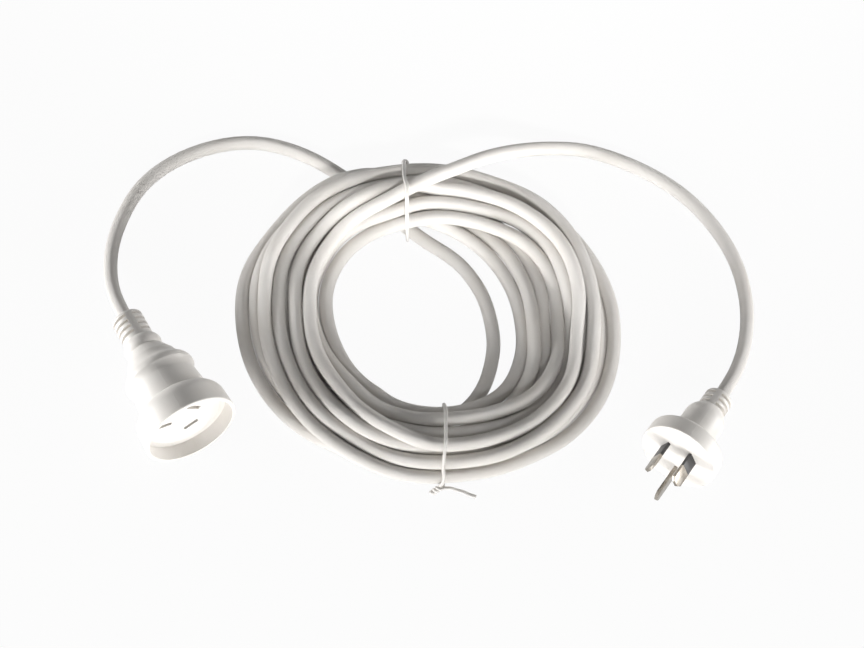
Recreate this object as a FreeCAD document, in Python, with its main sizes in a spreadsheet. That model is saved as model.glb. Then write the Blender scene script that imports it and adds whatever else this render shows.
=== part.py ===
import FreeCAD, Part
import math
import os
import Sketcher

# Three-pin extension cord, 5 m, lying on a table as it is sold: a tied coil with two free arms.
# The origin is on the table, midway between plug and socket; +Z is up and -Y is the front.
# Plug and socket are drawn along their own axis: local z = 0 is the mating face, +z leaves it.

SIZES = {
    # Cord
    "cord_diameter": 6.6,
    "core_diameter": 2.3,
    "conductor_diameter": 1.1,
    "sheath_wall": 0.7,
    "turn_gap": 0.55,
    "layer_gap": 0.75,
    # Flat blades
    "blade_width": 6.35,
    "blade_thickness": 1.6,
    "line_blade_length": 16.7,
    "earth_blade_length": 18.5,
    "line_blade_radius": 7.92,
    "earth_blade_radius": 10.31,
    "blade_tip_chamfer": 1.6,
    "neck_width": 5.4,
    "neck_thickness": 0.9,
    "sleeve_length": 7.6,
    "sleeve_seat": 3.0,
    "fit_clearance": 0.06,
    "blade_tail": 0.6,
    "crimp_station": 7.9,
    "crimp_radius": 1.3,
    "crimp_length": 4.0,
    # Plug
    "plug_radius": 18.7,
    "plug_edge": 0.6,
    "plug_disc": 9.0,
    "plug_back_edge": 1.7,
    "plug_neck_radius": 9.9,
    "plug_neck_fillet": 3.0,
    "plug_neck_end": 24.0,
    "plug_relief_start": 31.2,
    "plug_relief_radius": 6.8,
    "plug_length": 41.5,
    "plug_face_wall": 2.0,
    "plug_carrier_radius": 13.6,
    "plug_carrier_depth": 4.5,
    "plug_chamber_radius": 9.4,
    "plug_chamber_end": 12.5,
    "plug_core_meet": 20.0,
    "plug_bore_start": 27.0,
    "plug_slot_first": 32.4,
    "plug_slot_count": 3,
    "plug_roll": 190.0,
    "plug_spine_roll": 10.0,
    "plug_tilt": 20.2,
    # Socket
    "rim_radius": 22.7,
    "rim_edge": 0.7,
    "shroud_wall": 1.7,
    "shroud_back_radius": 22.2,
    "shroud_back": 9.0,
    "shroud_back_round": 7.3,
    "recess_depth": 7.0,
    "recess_draft": 0.4,
    "barrel_start": 16.0,
    "barrel_radius": 17.3,
    "waist": 27.5,
    "waist_radius": 15.9,
    "waist_hollow": 7.0,
    "shoulder_start": 31.5,
    "shoulder_radius": 17.2,
    "shoulder_round": 5.0,
    "shoulder_end": 36.0,
    "shoulder_end_radius": 15.4,
    "cone_hollow": 12.0,
    "cone_start": 41.5,
    "cone_radius": 12.2,
    "cone_end": 47.6,
    "cone_end_radius": 8.4,
    "collar_round": 4.7,
    "collar_end": 54.0,
    "socket_relief_radius": 7.5,
    "socket_length": 68.8,
    "face_radius": 18.0,
    "face_thickness": 3.0,
    "slot_end_clearance": 0.55,
    "slot_side_clearance": 0.3,
    "socket_carrier_radius": 14.2,
    "socket_carrier_depth": 16.0,
    "socket_chamber_radius": 12.8,
    "socket_chamber_end": 30.0,
    "socket_core_meet": 40.0,
    "socket_bore_start": 47.0,
    "socket_slot_first": 56.9,
    "socket_slot_count": 4,
    "socket_roll": 71.7,
    "socket_spine_roll": 166.0,
    "socket_tilt": 12.4,
    # Spring contacts
    "contact_gap": 1.1,
    "contact_metal": 0.5,
    "contact_width": 5.6,
    "contact_length": 12.0,
    "contact_mouth": 1.2,
    # Strain relief slots
    "relief_edge": 1.7,
    "relief_slot_width": 1.5,
    "relief_slot_pitch": 3.05,
    "relief_core_radius": 5.2,
    "relief_slot_angle": 152.0,
    # The width between the arms' outermost middle lines, and how far inside them the faces lie
    "lay_width": 301.3,
    "socket_inset": 42.6,
    "socket_north": -15.3,
    "socket_heading": 30.0,
    "plug_inset": 36.6,
    "plug_north": -27.0,
    "plug_heading": -34.0,
    # The coil: an oval middle line, eleven turns in two layers
    "coil_east": 2.8,
    "coil_north": 41.0,
    "coil_half_width": 66.2,
    "coil_half_depth": 60.2,
    "lower_turns": 5.5,
    "coil_turns": 11,
    "first_station": 108.0,
    "right_fan": 1.3,
    "loose_turn_drop": 17.0,
    "coil_hump": 9.6,
    # Ties
    "tie_wire": 1.5,
    "tie_slack": 0.12,
    "top_tie_east": -7.7,
    "bottom_tie_east": 11.2,
    "tie_twist_pitch": 5.0,
}

doc = FreeCAD.newDocument("extension_cord")
sheet = doc.addObject("Spreadsheet::Sheet", "sizes")
for row, (alias, number) in enumerate(SIZES.items(), 1):
    sheet.set(f"A{row}", alias)
    sheet.set(f"B{row}", str(number))
    sheet.setAlias(f"B{row}", alias)
doc.recompute()

nodes = []


class Size:
    """A length with its value and the sheet expression that gives it."""

    def __init__(self, value, text):
        self.value = value
        self.text = text

    def __add__(self, other):
        other = as_size(other)
        return Size(self.value + other.value, f"({self.text} + {other.text})")

    def __sub__(self, other):
        other = as_size(other)
        return Size(self.value - other.value, f"({self.text} - {other.text})")

    def __mul__(self, factor):
        return Size(self.value * factor, f"({self.text} * {factor})")

    def __neg__(self):
        return Size(-self.value, f"(0 - {self.text})")


def as_size(number):
    return number if isinstance(number, Size) else Size(float(number), str(float(number)))


def size(alias):
    return Size(float(sheet.get(alias)), f"sizes.{alias}")


def number(alias):
    return float(sheet.get(alias))


def vec(x, y, z=0.0):
    return FreeCAD.Vector(x, y, z)


# Sketches and features

def new_body(name, placement):
    body = doc.addObject("PartDesign::Body", name)
    body.Label = name
    body.Placement = placement
    nodes.append(body)
    return body


def origin_plane(body, role):
    return [item for item in body.Origin.OriginFeatures if item.Role == role][0]


def new_sketch(body, name, role="XZ_Plane"):
    sketch = body.newObject("Sketcher::SketchObject", name)
    sketch.AttachmentSupport = [(origin_plane(body, role), "")]
    sketch.MapMode = "FlatFace"
    return sketch


def bind(sketch, kind, target, amount):
    """Adds one driving dimension to the sketch and ties it to the sheet."""
    if kind != "Radius" and abs(amount.value) < 1e-9:
        axis = -2 if kind == "DistanceX" else -1
        sketch.addConstraint(Sketcher.Constraint("PointOnObject", target[0], target[1], axis))
        return
    if amount.value < 0:
        amount = -amount
        ends = target + (-1, 1)
    else:
        ends = target if kind == "Radius" else (-1, 1) + target
    index = sketch.addConstraint(Sketcher.Constraint(kind, *ends, amount.value))
    sketch.setExpression(f"Constraints[{index}]", amount.text)


def arc_through(start, end, radius, bulge):
    """Centre of the arc from start to end; bulge +1 has the centre on the left of the way."""
    middle = (start + end) * 0.5
    half = (end - start).Length / 2
    rise = math.sqrt(max(radius * radius - half * half, 0.0))
    way = (end - start).normalize()
    return middle + vec(-way.y, way.x) * (rise * bulge)


def outline(sketch, corners):
    """A closed outline. Each corner is (x, y) or (x, y, radius, bulge) for an arc to the next one."""
    places = [(as_size(corner[0]), as_size(corner[1])) for corner in corners]
    points = [vec(x.value, y.value) for x, y in places]
    edges = []
    for index, corner in enumerate(corners):
        start = points[index]
        end = points[(index + 1) % len(points)]
        if len(corner) == 2:
            geometry = sketch.addGeometry(Part.LineSegment(start, end))
            edges.append((geometry, 1, 2))
            continue
        radius, bulge = as_size(corner[2]), corner[3]
        centre = arc_through(start, end, radius.value, bulge)
        first, last = (start, end) if bulge > 0 else (end, start)
        angles = [math.atan2(point.y - centre.y, point.x - centre.x) for point in (first, last)]
        circle = Part.Circle(centre, vec(0, 0, 1), radius.value)
        geometry = sketch.addGeometry(Part.ArcOfCircle(circle, angles[0], angles[1]))
        edges.append((geometry, 1, 2) if bulge > 0 else (geometry, 2, 1))
        bind(sketch, "Radius", (geometry,), radius)
    for index, (geometry, start, end) in enumerate(edges):
        following, next_start, _ = edges[(index + 1) % len(edges)]
        sketch.addConstraint(Sketcher.Constraint("Coincident", geometry, end, following, next_start))
        bind(sketch, "DistanceX", (geometry, start), places[index][0])
        bind(sketch, "DistanceY", (geometry, start), places[index][1])


def revolve(body, name, corners, cut=False, angle=360.0):
    kind = "PartDesign::Groove" if cut else "PartDesign::Revolution"
    sketch = new_sketch(body, name + "_outline")
    outline(sketch, corners)
    feature = body.newObject(kind, name)
    feature.Profile = sketch
    feature.ReferenceAxis = (sketch, ["V_Axis"])
    feature.Midplane = angle < 360.0
    feature.Angle = angle
    return feature


def extrude(body, name, corners, depth, role="XZ_Plane", cut=False):
    """An outline drawn through the middle of its depth."""
    sketch = new_sketch(body, name + "_outline", role)
    outline(sketch, corners)
    feature = body.newObject("PartDesign::Pocket" if cut else "PartDesign::Pad", name)
    feature.Profile = sketch
    depth = as_size(depth)
    feature.Midplane = True
    feature.Length = depth.value
    feature.setExpression("Length", depth.text)
    return feature


def rectangle(half_width, low, high):
    return [(-half_width, low), (half_width, low), (half_width, high), (-half_width, high)]


# Tubes

def arc_edge(start, start_way, end):
    """The arc that leaves start along start_way and ends at end."""
    chord = end - start
    half = chord.Length / 2
    turn = chord.getAngle(start_way)
    if turn < 1e-6:
        return Part.LineSegment(start, end).toShape()
    corner = start + start_way * (half / math.cos(turn))
    middle = start + chord * 0.5
    sagitta = half * math.tan(turn / 2)
    top = middle + (corner - middle).normalize() * sagitta
    return Part.Arc(start, top, end).toShape()


def rounded_route(points, label):
    """Straight runs joined by arcs that are as large as their two runs allow."""
    share = 0.45
    edges = []
    here = points[0]
    tightest = None
    for before, corner, after in zip(points, points[1:], points[2:]):
        run_in, run_out = corner - before, after - corner
        shorter = min(run_in.Length, run_out.Length)
        half_turn = run_in.getAngle(run_out) / 2
        radius = share * shorter / math.tan(half_turn)
        tightest = radius if tightest is None else min(tightest, radius)
        way_in = vec(*run_in).normalize()
        way_out = vec(*run_out).normalize()
        begin = corner - way_in * (share * shorter)
        end = corner + way_out * (share * shorter)
        edges.append(Part.LineSegment(here, begin).toShape())
        edges.append(arc_edge(begin, way_in, end))
        here = end
    edges.append(Part.LineSegment(here, points[-1]).toShape())
    route = Part.Wire(edges)
    print(f"{label}: length {route.Length:.1f} mm, tightest radius {tightest:.1f} mm")
    return route


def tube(route, start, diameter):
    first = route.Edges[0]
    way = first.tangentAt(first.FirstParameter)
    section = Part.Wire(Part.Circle(start, way, diameter / 2).toShape())
    solid = route.makePipeShell([section], True, False)
    expected = math.pi * diameter ** 2 / 4 * route.Length
    if abs(solid.Volume / expected - 1) > 0.02:
        raise RuntimeError(f"tube volume {solid.Volume:.0f}, section times length {expected:.0f}")
    return solid


def shape_node(name, shape, placement=None):
    node = doc.addObject("Part::Feature", name)
    node.Label = name
    node.Shape = shape
    node.Placement = placement or FreeCAD.Placement()
    nodes.append(node)
    return node


# Where plug and socket rest, and how they lean

WEST = -0.489 * number("lay_width")
EAST = WEST + number("lay_width")


def rounded_edge(radius, depth, edge):
    """A small edge round: the radius and depth of its centre, and its rounding."""
    return radius - edge, depth, edge


def rounded_back(start, end, rounding):
    """The same for an arc of the profile between two named places."""
    places = [vec(number(radius), -number(depth)) for radius, depth in (start, end)]
    centre = arc_through(*places, rounding, -1)
    return centre.x, -centre.y, rounding


def resting_pose(name, east, contacts):
    """Puts the lowest of the rounds on the table; each is its centre's radius and depth, and size."""
    tilt, turn = math.radians(number(f"{name}_tilt")), math.radians(number(f"{name}_heading"))
    height = max(depth * math.sin(tilt) + radius * math.cos(tilt) + rounding
                 for radius, depth, rounding in contacts)
    axis = vec(math.sin(turn) * math.cos(tilt), -math.cos(turn) * math.cos(tilt), math.sin(tilt))
    side = vec(-math.cos(turn), -math.sin(turn), 0)
    rotation = FreeCAD.Rotation(side, axis.cross(side), axis, "ZXY")
    return FreeCAD.Placement(vec(east, number(f"{name}_north"), height), rotation)


def rolled(placement, degrees, radius, station):
    """A frame on the face at one station round it: local x is tangent, local y points outward."""
    spin = FreeCAD.Rotation(vec(0, 0, 1), degrees + station - 90)
    out = spin.multVec(vec(0, 1, 0))
    return placement.multiply(FreeCAD.Placement(out * radius, spin))


relief_edge = number("relief_edge")
plug_pose = resting_pose("plug", EAST - number("plug_inset"), [
    rounded_edge(number("plug_radius"), number("plug_disc") - number("plug_back_edge"),
                 number("plug_back_edge")),
    rounded_edge(number("plug_relief_radius"), number("plug_length") - relief_edge, relief_edge)])
socket_pose = resting_pose("socket", WEST + number("socket_inset"), [
    rounded_edge(number("rim_radius"), number("rim_edge"), number("rim_edge")),
    rounded_back(("shroud_back_radius", "shroud_back"), ("barrel_radius", "barrel_start"),
                 number("shroud_back_round")),
    rounded_back(("shoulder_radius", "shoulder_start"), ("shoulder_end_radius", "shoulder_end"),
                 number("shoulder_round")),
    rounded_edge(number("socket_relief_radius"), number("socket_length") - relief_edge,
                 relief_edge)])

# Stations round a mating face, in degrees; the earth blade is radial and the others lie across
STATIONS = {"earth": -90.0, "active": 30.0, "neutral": 150.0}


# Slotted strain relief, shared by plug and socket

def relief_slots(body, first, count, spine_roll):
    """Slots that go most of the way round, left and right of a smooth spine above and below."""
    half = size("relief_slot_width") * 0.5
    inner, outer = size("relief_core_radius"), size("cord_diameter") * 3.0
    cuts = []
    for side, sign in (("left", -1.0), ("right", 1.0)):
        corners = [(inner * sign, -first - half), (outer * sign, -first - half),
                   (outer * sign, -first + half), (inner * sign, -first + half)]
        cut = revolve(body, f"slot_{side}", corners, cut=True, angle=number("relief_slot_angle"))
        cut.setExpression("Angle", "sizes.relief_slot_angle")
        sketch = cut.Profile[0]
        sketch.AttachmentOffset = FreeCAD.Placement(
            vec(0, 0), FreeCAD.Rotation(vec(0, 1, 0), number(spine_roll)))
        sketch.setExpression("AttachmentOffset.Rotation.Angle", f"sizes.{spine_roll}")
        cuts.append(cut)
    pattern = body.newObject("PartDesign::LinearPattern", "slots")
    pattern.Originals = cuts
    pattern.Direction = (cuts[0].Profile[0], ["V_Axis"])
    pattern.Reversed = True
    pattern.Occurrences = int(count.value)
    pattern.setExpression("Occurrences", count.text)
    pattern.Length = number("relief_slot_pitch") * (count.value - 1)
    pattern.setExpression("Length", f"sizes.relief_slot_pitch * ({count.text} - 1)")
    body.Tip = pattern


# Plug

def make_plug_body():
    body = new_body("plug_body", plug_pose)
    radius, edge = size("plug_radius"), size("plug_edge")
    disc, back_edge = size("plug_disc"), size("plug_back_edge")
    neck, fillet = size("plug_neck_radius"), size("plug_neck_fillet")
    relief, relief_edge = size("plug_relief_radius"), size("relief_edge")
    length = size("plug_length")
    revolve(body, "shell", [
        (0, 0),
        (radius - edge, 0, edge, -1),
        (radius, -edge),
        (radius, back_edge - disc, back_edge, -1),
        (radius - back_edge, -disc),
        (neck + fillet, -disc, fillet, 1),
        (neck, -disc - fillet),
        (neck, -size("plug_neck_end"), size("plug_neck_radius"), -1),
        (relief, -size("plug_relief_start")),
        (relief, relief_edge - length, relief_edge, -1),
        (relief - relief_edge, -length),
        (0, -length)])
    front = size("plug_face_wall")
    carrier, depth = size("plug_carrier_radius"), size("plug_carrier_depth")
    bore = size("cord_diameter") * 0.5
    revolve(body, "cavity", [
        (0, -front),
        (carrier, -front),
        (carrier, -front - depth),
        (size("plug_chamber_radius"), -front - depth),
        (size("plug_chamber_radius"), -size("plug_chamber_end")),
        (bore, -size("plug_bore_start")),
        (bore, -length - 1),
        (0, -length - 1)], cut=True)
    gap = size("fit_clearance")
    blade_openings(body, "plug_roll", front + 1.0, gap, gap)
    relief_slots(body, size("plug_slot_first"), size("plug_slot_count"), "plug_spine_roll")


def blade_outline(body, kind, roll, name, half_width, half_thick):
    """A rectangle at one blade's station; the earth blade is radial, the others lie across."""
    if kind == "earth":
        half_width, half_thick = half_thick, half_width
    radius = size("earth_blade_radius" if kind == "earth" else "line_blade_radius")
    sketch = new_sketch(body, f"{kind}_{name}_outline", "XY_Plane")
    turn = STATIONS[kind] - 90
    sketch.AttachmentOffset = FreeCAD.Placement(
        vec(0, 0), FreeCAD.Rotation(vec(0, 0, 1), number(roll) + turn))
    sketch.setExpression("AttachmentOffset.Rotation.Angle", f"(sizes.{roll} + {turn})")
    outline(sketch, [(-half_width, radius - half_thick), (half_width, radius - half_thick),
                     (half_width, radius + half_thick), (-half_width, radius + half_thick)])
    return sketch


def blade_pocket(body, kind, roll, name, half_width, half_thick, depth):
    pocket = body.newObject("PartDesign::Pocket", f"{kind}_{name}")
    pocket.Profile = blade_outline(body, kind, roll, name, half_width, half_thick)
    pocket.Length = depth.value
    pocket.setExpression("Length", depth.text)


def blade_openings(body, roll, depth, end_clearance, side_clearance):
    for kind in STATIONS:
        blade_pocket(body, kind, roll, "opening", size("blade_width") * 0.5 + end_clearance,
                     size("blade_thickness") * 0.5 + side_clearance, depth)


def make_pin_carrier():
    """The rigid plate inside the plug that holds the three blades in place."""
    body = new_body("plug_pin_carrier", plug_pose)
    gap = size("fit_clearance")
    front = size("plug_face_wall") + gap
    rear = size("plug_face_wall") + size("plug_carrier_depth") - gap
    radius = size("plug_carrier_radius") - gap
    revolve(body, "plate", [(0, -front), (radius, -front), (radius, -rear), (0, -rear)])
    blade_openings(body, "plug_roll", rear + 1.0, gap, gap)


def crimp(body, shift, start):
    """A round barrel for the stripped core, its axis moved sideways by shift."""
    length = size("crimp_length")
    sketch = new_sketch(body, "crimp_outline", "XY_Plane")
    sketch.AttachmentOffset = FreeCAD.Placement(vec(0, 0, -(start + length).value),
                                                FreeCAD.Rotation())
    sketch.setExpression("AttachmentOffset.Base.z", (-(start + length)).text)
    for radius in (size("crimp_radius"), size("conductor_diameter") * 0.5):
        circle = Part.Circle(vec(shift.value, 0), vec(0, 0, 1), radius.value)
        geometry = sketch.addGeometry(circle)
        bind(sketch, "Radius", (geometry,), radius)
        bind(sketch, "DistanceX", (geometry, 3), shift)
        bind(sketch, "DistanceY", (geometry, 3), as_size(0))
    barrel = body.newObject("PartDesign::Pad", "crimp")
    barrel.Profile = sketch
    overlap = length + 0.3
    barrel.Length = overlap.value
    barrel.setExpression("Length", overlap.text)


def make_pin(kind):
    """A flat blade, necked down where its sleeve sits, with a crimp barrel at its tail."""
    earth = kind == "earth"
    blade_radius = size("earth_blade_radius" if earth else "line_blade_radius")
    pose = rolled(plug_pose, number("plug_roll"), blade_radius.value, STATIONS[kind])
    if earth:
        quarter = FreeCAD.Rotation(vec(0, 0, 1), 90)
        pose = pose.multiply(FreeCAD.Placement(vec(0, 0), quarter))
    body = new_body(f"{kind}_pin", pose)
    half, chamfer = size("blade_width") * 0.5, size("blade_tip_chamfer")
    length = size("earth_blade_length" if earth else "line_blade_length")
    seat, rear = size("sleeve_seat"), size("plug_face_wall") + size("plug_carrier_depth")
    root = -seat if earth else size("sleeve_length")
    extrude(body, "blade", [
        (-half, root), (half, root), (half, length - chamfer), (half - chamfer, length),
        (-half + chamfer, length), (-half, length - chamfer)], size("blade_thickness"))
    if not earth:
        extrude(body, "neck", rectangle(size("neck_width") * 0.5, -seat - 0.5, root + 0.5),
                size("neck_thickness"))
    extrude(body, "shank", rectangle(half, -rear, -seat), size("blade_thickness"))
    shift = size("crimp_station") - blade_radius if earth else as_size(0)
    width = size("crimp_radius")
    tail_end = rear + size("blade_tail")
    extrude(body, "tail", [(shift - width, -tail_end - 0.3), (shift + width, -tail_end - 0.3),
                           (shift + width, -rear), (shift - width, -rear)],
            size("neck_thickness"))
    crimp(body, shift, tail_end)


def make_sleeve(kind):
    """The black insulating sleeve round the root of a live blade, flush with the blade."""
    pose = rolled(plug_pose, number("plug_roll"), number("line_blade_radius"), STATIONS[kind])
    body = new_body(f"{kind}_pin_sleeve", pose)
    gap = size("fit_clearance")
    seat, length = size("sleeve_seat"), size("sleeve_length") - gap
    extrude(body, "sleeve", rectangle(size("blade_width") * 0.5, -seat, length),
            size("blade_thickness"))
    extrude(body, "bore", rectangle(size("neck_width") * 0.5 + gap, -seat - 1.0, length + 1.0),
            size("neck_thickness") + gap + gap, cut=True)


def make_sheath_end(name, pose, start, length):
    """The last of the outer sheath, gripped in the strain relief."""
    body = new_body(name, pose)
    outer = size("cord_diameter") * 0.5 - size("fit_clearance")
    inner = size("cord_diameter") * 0.5 - size("sheath_wall")
    revolve(body, "sheath", [(inner, -start), (outer, -start), (outer, -length), (inner, -length)])


def make_cores(prefix, pose, crimp_radii, crimp_end, meet, length):
    """Three insulated cores from the crimps to the end of the sheath, with bare ends."""
    core, gap = number("core_diameter"), number("fit_clearance")
    wire = number("conductor_diameter") - 2 * gap
    lay = (core + 0.1) / math.sqrt(3)
    for kind, station in STATIONS.items():
        angle = math.radians(number(f"{prefix}_roll") + station)
        out = vec(math.cos(angle), math.sin(angle))
        radius = crimp_radii[kind]
        points = [out * radius + vec(0, 0, -crimp_end - gap),
                  out * radius + vec(0, 0, -crimp_end - gap - core / 2),
                  out * lay + vec(0, 0, -meet),
                  out * lay + vec(0, 0, -length)]
        insulated = tube(rounded_route(points, f"{prefix}_{kind}_core"), points[0], core)
        bare = number("crimp_length") - 0.5
        strand = Part.makeCylinder(wire / 2, bare, points[0] + vec(0, 0, -gap), vec(0, 0, 1))
        shape_node(f"{prefix}_{kind}_core", insulated.fuse(strand).removeSplitter(), pose)


# Socket

def make_socket_body():
    body = new_body("socket_body", socket_pose)
    rim, edge = size("rim_radius"), size("rim_edge")
    relief, relief_edge = size("socket_relief_radius"), size("relief_edge")
    length = size("socket_length")
    revolve(body, "shell", [
        (0, 0),
        (rim - edge, 0, edge, -1),
        (rim, -edge),
        (size("shroud_back_radius"), -size("shroud_back"), size("shroud_back_round"), -1),
        (size("barrel_radius"), -size("barrel_start")),
        (size("waist_radius"), -size("waist"), size("waist_hollow"), 1),
        (size("shoulder_radius"), -size("shoulder_start"), size("shoulder_round"), -1),
        (size("shoulder_end_radius"), -size("shoulder_end"), size("cone_hollow"), 1),
        (size("cone_radius"), -size("cone_start")),
        (size("cone_end_radius"), -size("cone_end"), size("collar_round"), -1),
        (relief, -size("collar_end")),
        (relief, relief_edge - length, relief_edge, -1),
        (relief - relief_edge, -length),
        (0, -length)])
    mouth = rim - size("shroud_wall")
    floor = size("recess_depth")
    seat = floor + size("face_thickness")
    rear = seat + size("socket_carrier_depth")
    bore = size("cord_diameter") * 0.5
    revolve(body, "cavity", [
        (0, 1),
        (mouth, 1),
        (mouth, -edge),
        (mouth - size("recess_draft"), -floor),
        (size("face_radius"), -floor),
        (size("face_radius"), -seat),
        (size("socket_carrier_radius"), -seat),
        (size("socket_carrier_radius"), -rear),
        (size("socket_chamber_radius"), -rear),
        (size("socket_chamber_radius"), -size("socket_chamber_end")),
        (bore, -size("socket_bore_start")),
        (bore, -length - 1),
        (0, -length - 1)], cut=True)
    relief_slots(body, size("socket_slot_first"), size("socket_slot_count"), "socket_spine_roll")


def make_socket_face():
    """The hard plate at the bottom of the recess, with the three blade openings."""
    body = new_body("socket_face", socket_pose)
    gap = size("fit_clearance")
    front = size("recess_depth")
    rear = front + size("face_thickness") - gap
    radius = size("face_radius") - gap
    revolve(body, "plate", [(0, -front), (radius, -front), (radius, -rear), (0, -rear)])
    blade_openings(body, "socket_roll", rear + 1.0, size("slot_end_clearance"),
                   size("slot_side_clearance"))


def contact_pocket():
    """Half the room that a spring contact needs across its leaves."""
    return size("contact_gap") * 0.5 + size("contact_metal") + size("contact_mouth")


def make_contact_carrier():
    """The block behind the face plate, with one pocket for each spring contact."""
    body = new_body("socket_contact_carrier", socket_pose)
    gap = size("fit_clearance")
    front = size("recess_depth") + size("face_thickness") + gap
    rear = front + size("socket_carrier_depth") - gap - gap
    radius = size("socket_carrier_radius") - gap
    revolve(body, "block", [(0, -front), (radius, -front), (radius, -rear), (0, -rear)])
    for kind in STATIONS:
        blade_pocket(body, kind, "socket_roll", "pocket", size("contact_width") * 0.5 + gap,
                     contact_pocket(), rear + 1.0)


def make_contact(kind):
    """A folded spring contact: two leaves that bow together and flare at the mouth."""
    earth = kind == "earth"
    radius = number("earth_blade_radius" if earth else "line_blade_radius")
    pose = rolled(socket_pose, number("socket_roll"), radius, STATIONS[kind])
    if not earth:
        pose = pose.multiply(FreeCAD.Placement(vec(0, 0, 0), FreeCAD.Rotation(vec(0, 0, 1), 90)))
    body = new_body(f"socket_{kind}_contact", pose)
    front = size("recess_depth") + size("face_thickness") + size("fit_clearance") * 4
    rear = front + size("contact_length")
    metal, pinch = size("contact_metal"), size("contact_gap") * 0.5
    flare = size("contact_mouth")
    throat, waist = front + 1.8, front + 8.0
    extrude(body, "leaves", [
        (-pinch - flare, -front),
        (-pinch, -throat),
        (-pinch - flare * 0.6, -waist),
        (-pinch - flare * 0.6, metal - rear),
        (pinch + flare * 0.6, metal - rear),
        (pinch + flare * 0.6, -waist),
        (pinch, -throat),
        (pinch + flare, -front),
        (pinch + flare + metal, -front),
        (pinch + metal, -throat),
        (pinch + flare * 0.6 + metal, -waist),
        (pinch + flare * 0.6 + metal, -rear),
        (-pinch - flare * 0.6 - metal, -rear),
        (-pinch - flare * 0.6 - metal, -waist),
        (-pinch - metal, -throat),
        (-pinch - flare - metal, -front)], size("contact_width"))
    crimp(body, as_size(0), rear)


# Cord

lying = number("cord_diameter") / 2
pitch = number("cord_diameter") + number("turn_gap")
layer = number("cord_diameter") + number("layer_gap")
QUARTERS = 4 * int(number("coil_turns"))
CLIMB_START = int(4 * number("lower_turns"))
over_tie = lying + number("tie_wire") + 2 * number("tie_slack")
START_PLACE = vec(-4.5, 87.0, over_tie)
START_WAY = vec(0.73, -0.68, 0).normalize()
END_WAY = vec(0.93, 0.367, 0.02).normalize()


def across(station):
    """How far, in turns, the strand lies outside the coil's middle line at a quarter station."""
    if station == 0:
        return -2.6
    if station == 1:
        return -2.5
    if station == QUARTERS:
        return -0.6
    if station <= CLIMB_START:
        return -2.75 + station / 4
    if station == CLIMB_START + 1:
        return 3.05
    return 2.75 - (station - CLIMB_START) / 4


def level(station):
    """How many layers up the strand lies at a quarter station."""
    if station <= CLIMB_START:
        return 0.0
    if station == CLIMB_START + 1:
        return 0.6
    if station >= QUARTERS - 1:
        return 2.2
    return 1.0


def station_place(station):
    """Place and heading of the cord at a quarter station; the turns run clockwise from above."""
    theta = math.radians(number("first_station") - 90 * station)
    long_side, short_side = number("coil_half_width"), number("coil_half_depth")
    reach = long_side * short_side / math.hypot(short_side * math.cos(theta),
                                                long_side * math.sin(theta))
    on_oval = vec(math.cos(theta), math.sin(theta)) * reach
    outward = vec(on_oval.x / long_side ** 2, on_oval.y / short_side ** 2).normalize()
    spread = number("right_fan") if station % 4 == 1 else 1.0
    offset = across(station) * pitch * spread
    if station == 1:
        offset -= number("loose_turn_drop")
    lift = {0: number("coil_hump"), 2: over_tie - lying}.get(station % 4, 0.0)
    height = lying + level(station) * layer + lift
    place = vec(number("coil_east"), number("coil_north"), height) + on_oval + outward * offset
    return place, vec(outward.y, -outward.x)


def biarc(start, start_way, end, end_way):
    """Two arcs that leave start and reach end along the two given ways."""
    span = end - start
    ways = start_way + end_way
    bend = 2 * (1 - start_way.dot(end_way))
    along = span.dot(ways)
    reach = (-along + math.sqrt(along * along + bend * span.dot(span))) / bend
    middle = (start + start_way * reach + end - end_way * reach) * 0.5
    first = arc_edge(start, start_way, middle)
    middle_way = (end - end_way * reach - (start + start_way * reach)).normalize()
    return [first, arc_edge(middle, middle_way, end)]


def coil_route():
    """One unbroken route: a straight lead-in, eleven turns of biarcs and a straight lead-out."""
    straight = number("cord_diameter")
    places = [station_place(station) for station in range(QUARTERS + 1)]
    places[0] = (START_PLACE + START_WAY * straight, START_WAY)
    places[QUARTERS] = (places[QUARTERS][0], END_WAY)
    edges = [Part.LineSegment(START_PLACE, places[0][0]).toShape()]
    for (start, start_way), (end, end_way) in zip(places, places[1:]):
        edges += biarc(start, start_way, end, end_way)
    last, way = places[-1]
    edges.append(Part.LineSegment(last, last + way * straight).toShape())
    return Part.Wire(edges), last + way * straight


def least_gap(route):
    """Least gap between parts of the route that are well apart along it, measured on points."""
    step = 2.0
    points = route.discretize(Number=int(route.Length / step))
    near = int(4 * number("cord_diameter") / step)
    cell = 2 * number("cord_diameter")
    grid = {}
    best = cell
    for index, point in enumerate(points):
        key = (int(point.x // cell), int(point.y // cell), int(point.z // cell))
        for dx in (-1, 0, 1):
            for dy in (-1, 0, 1):
                for dz in (-1, 0, 1):
                    for other in grid.get((key[0] + dx, key[1] + dy, key[2] + dz), ()):
                        if index - other > near:
                            best = min(best, point.distanceToPoint(points[other]))
        grid.setdefault(key, []).append(index)
    print(f"coil: least gap {best - number('cord_diameter'):.2f} mm")


def along_arm(outermost, share, north, height=lying):
    """A place on an arm, at a share of the way from its outermost line to the coil's start."""
    return vec(outermost + (START_PLACE.x - outermost) * share, north, height)


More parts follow.
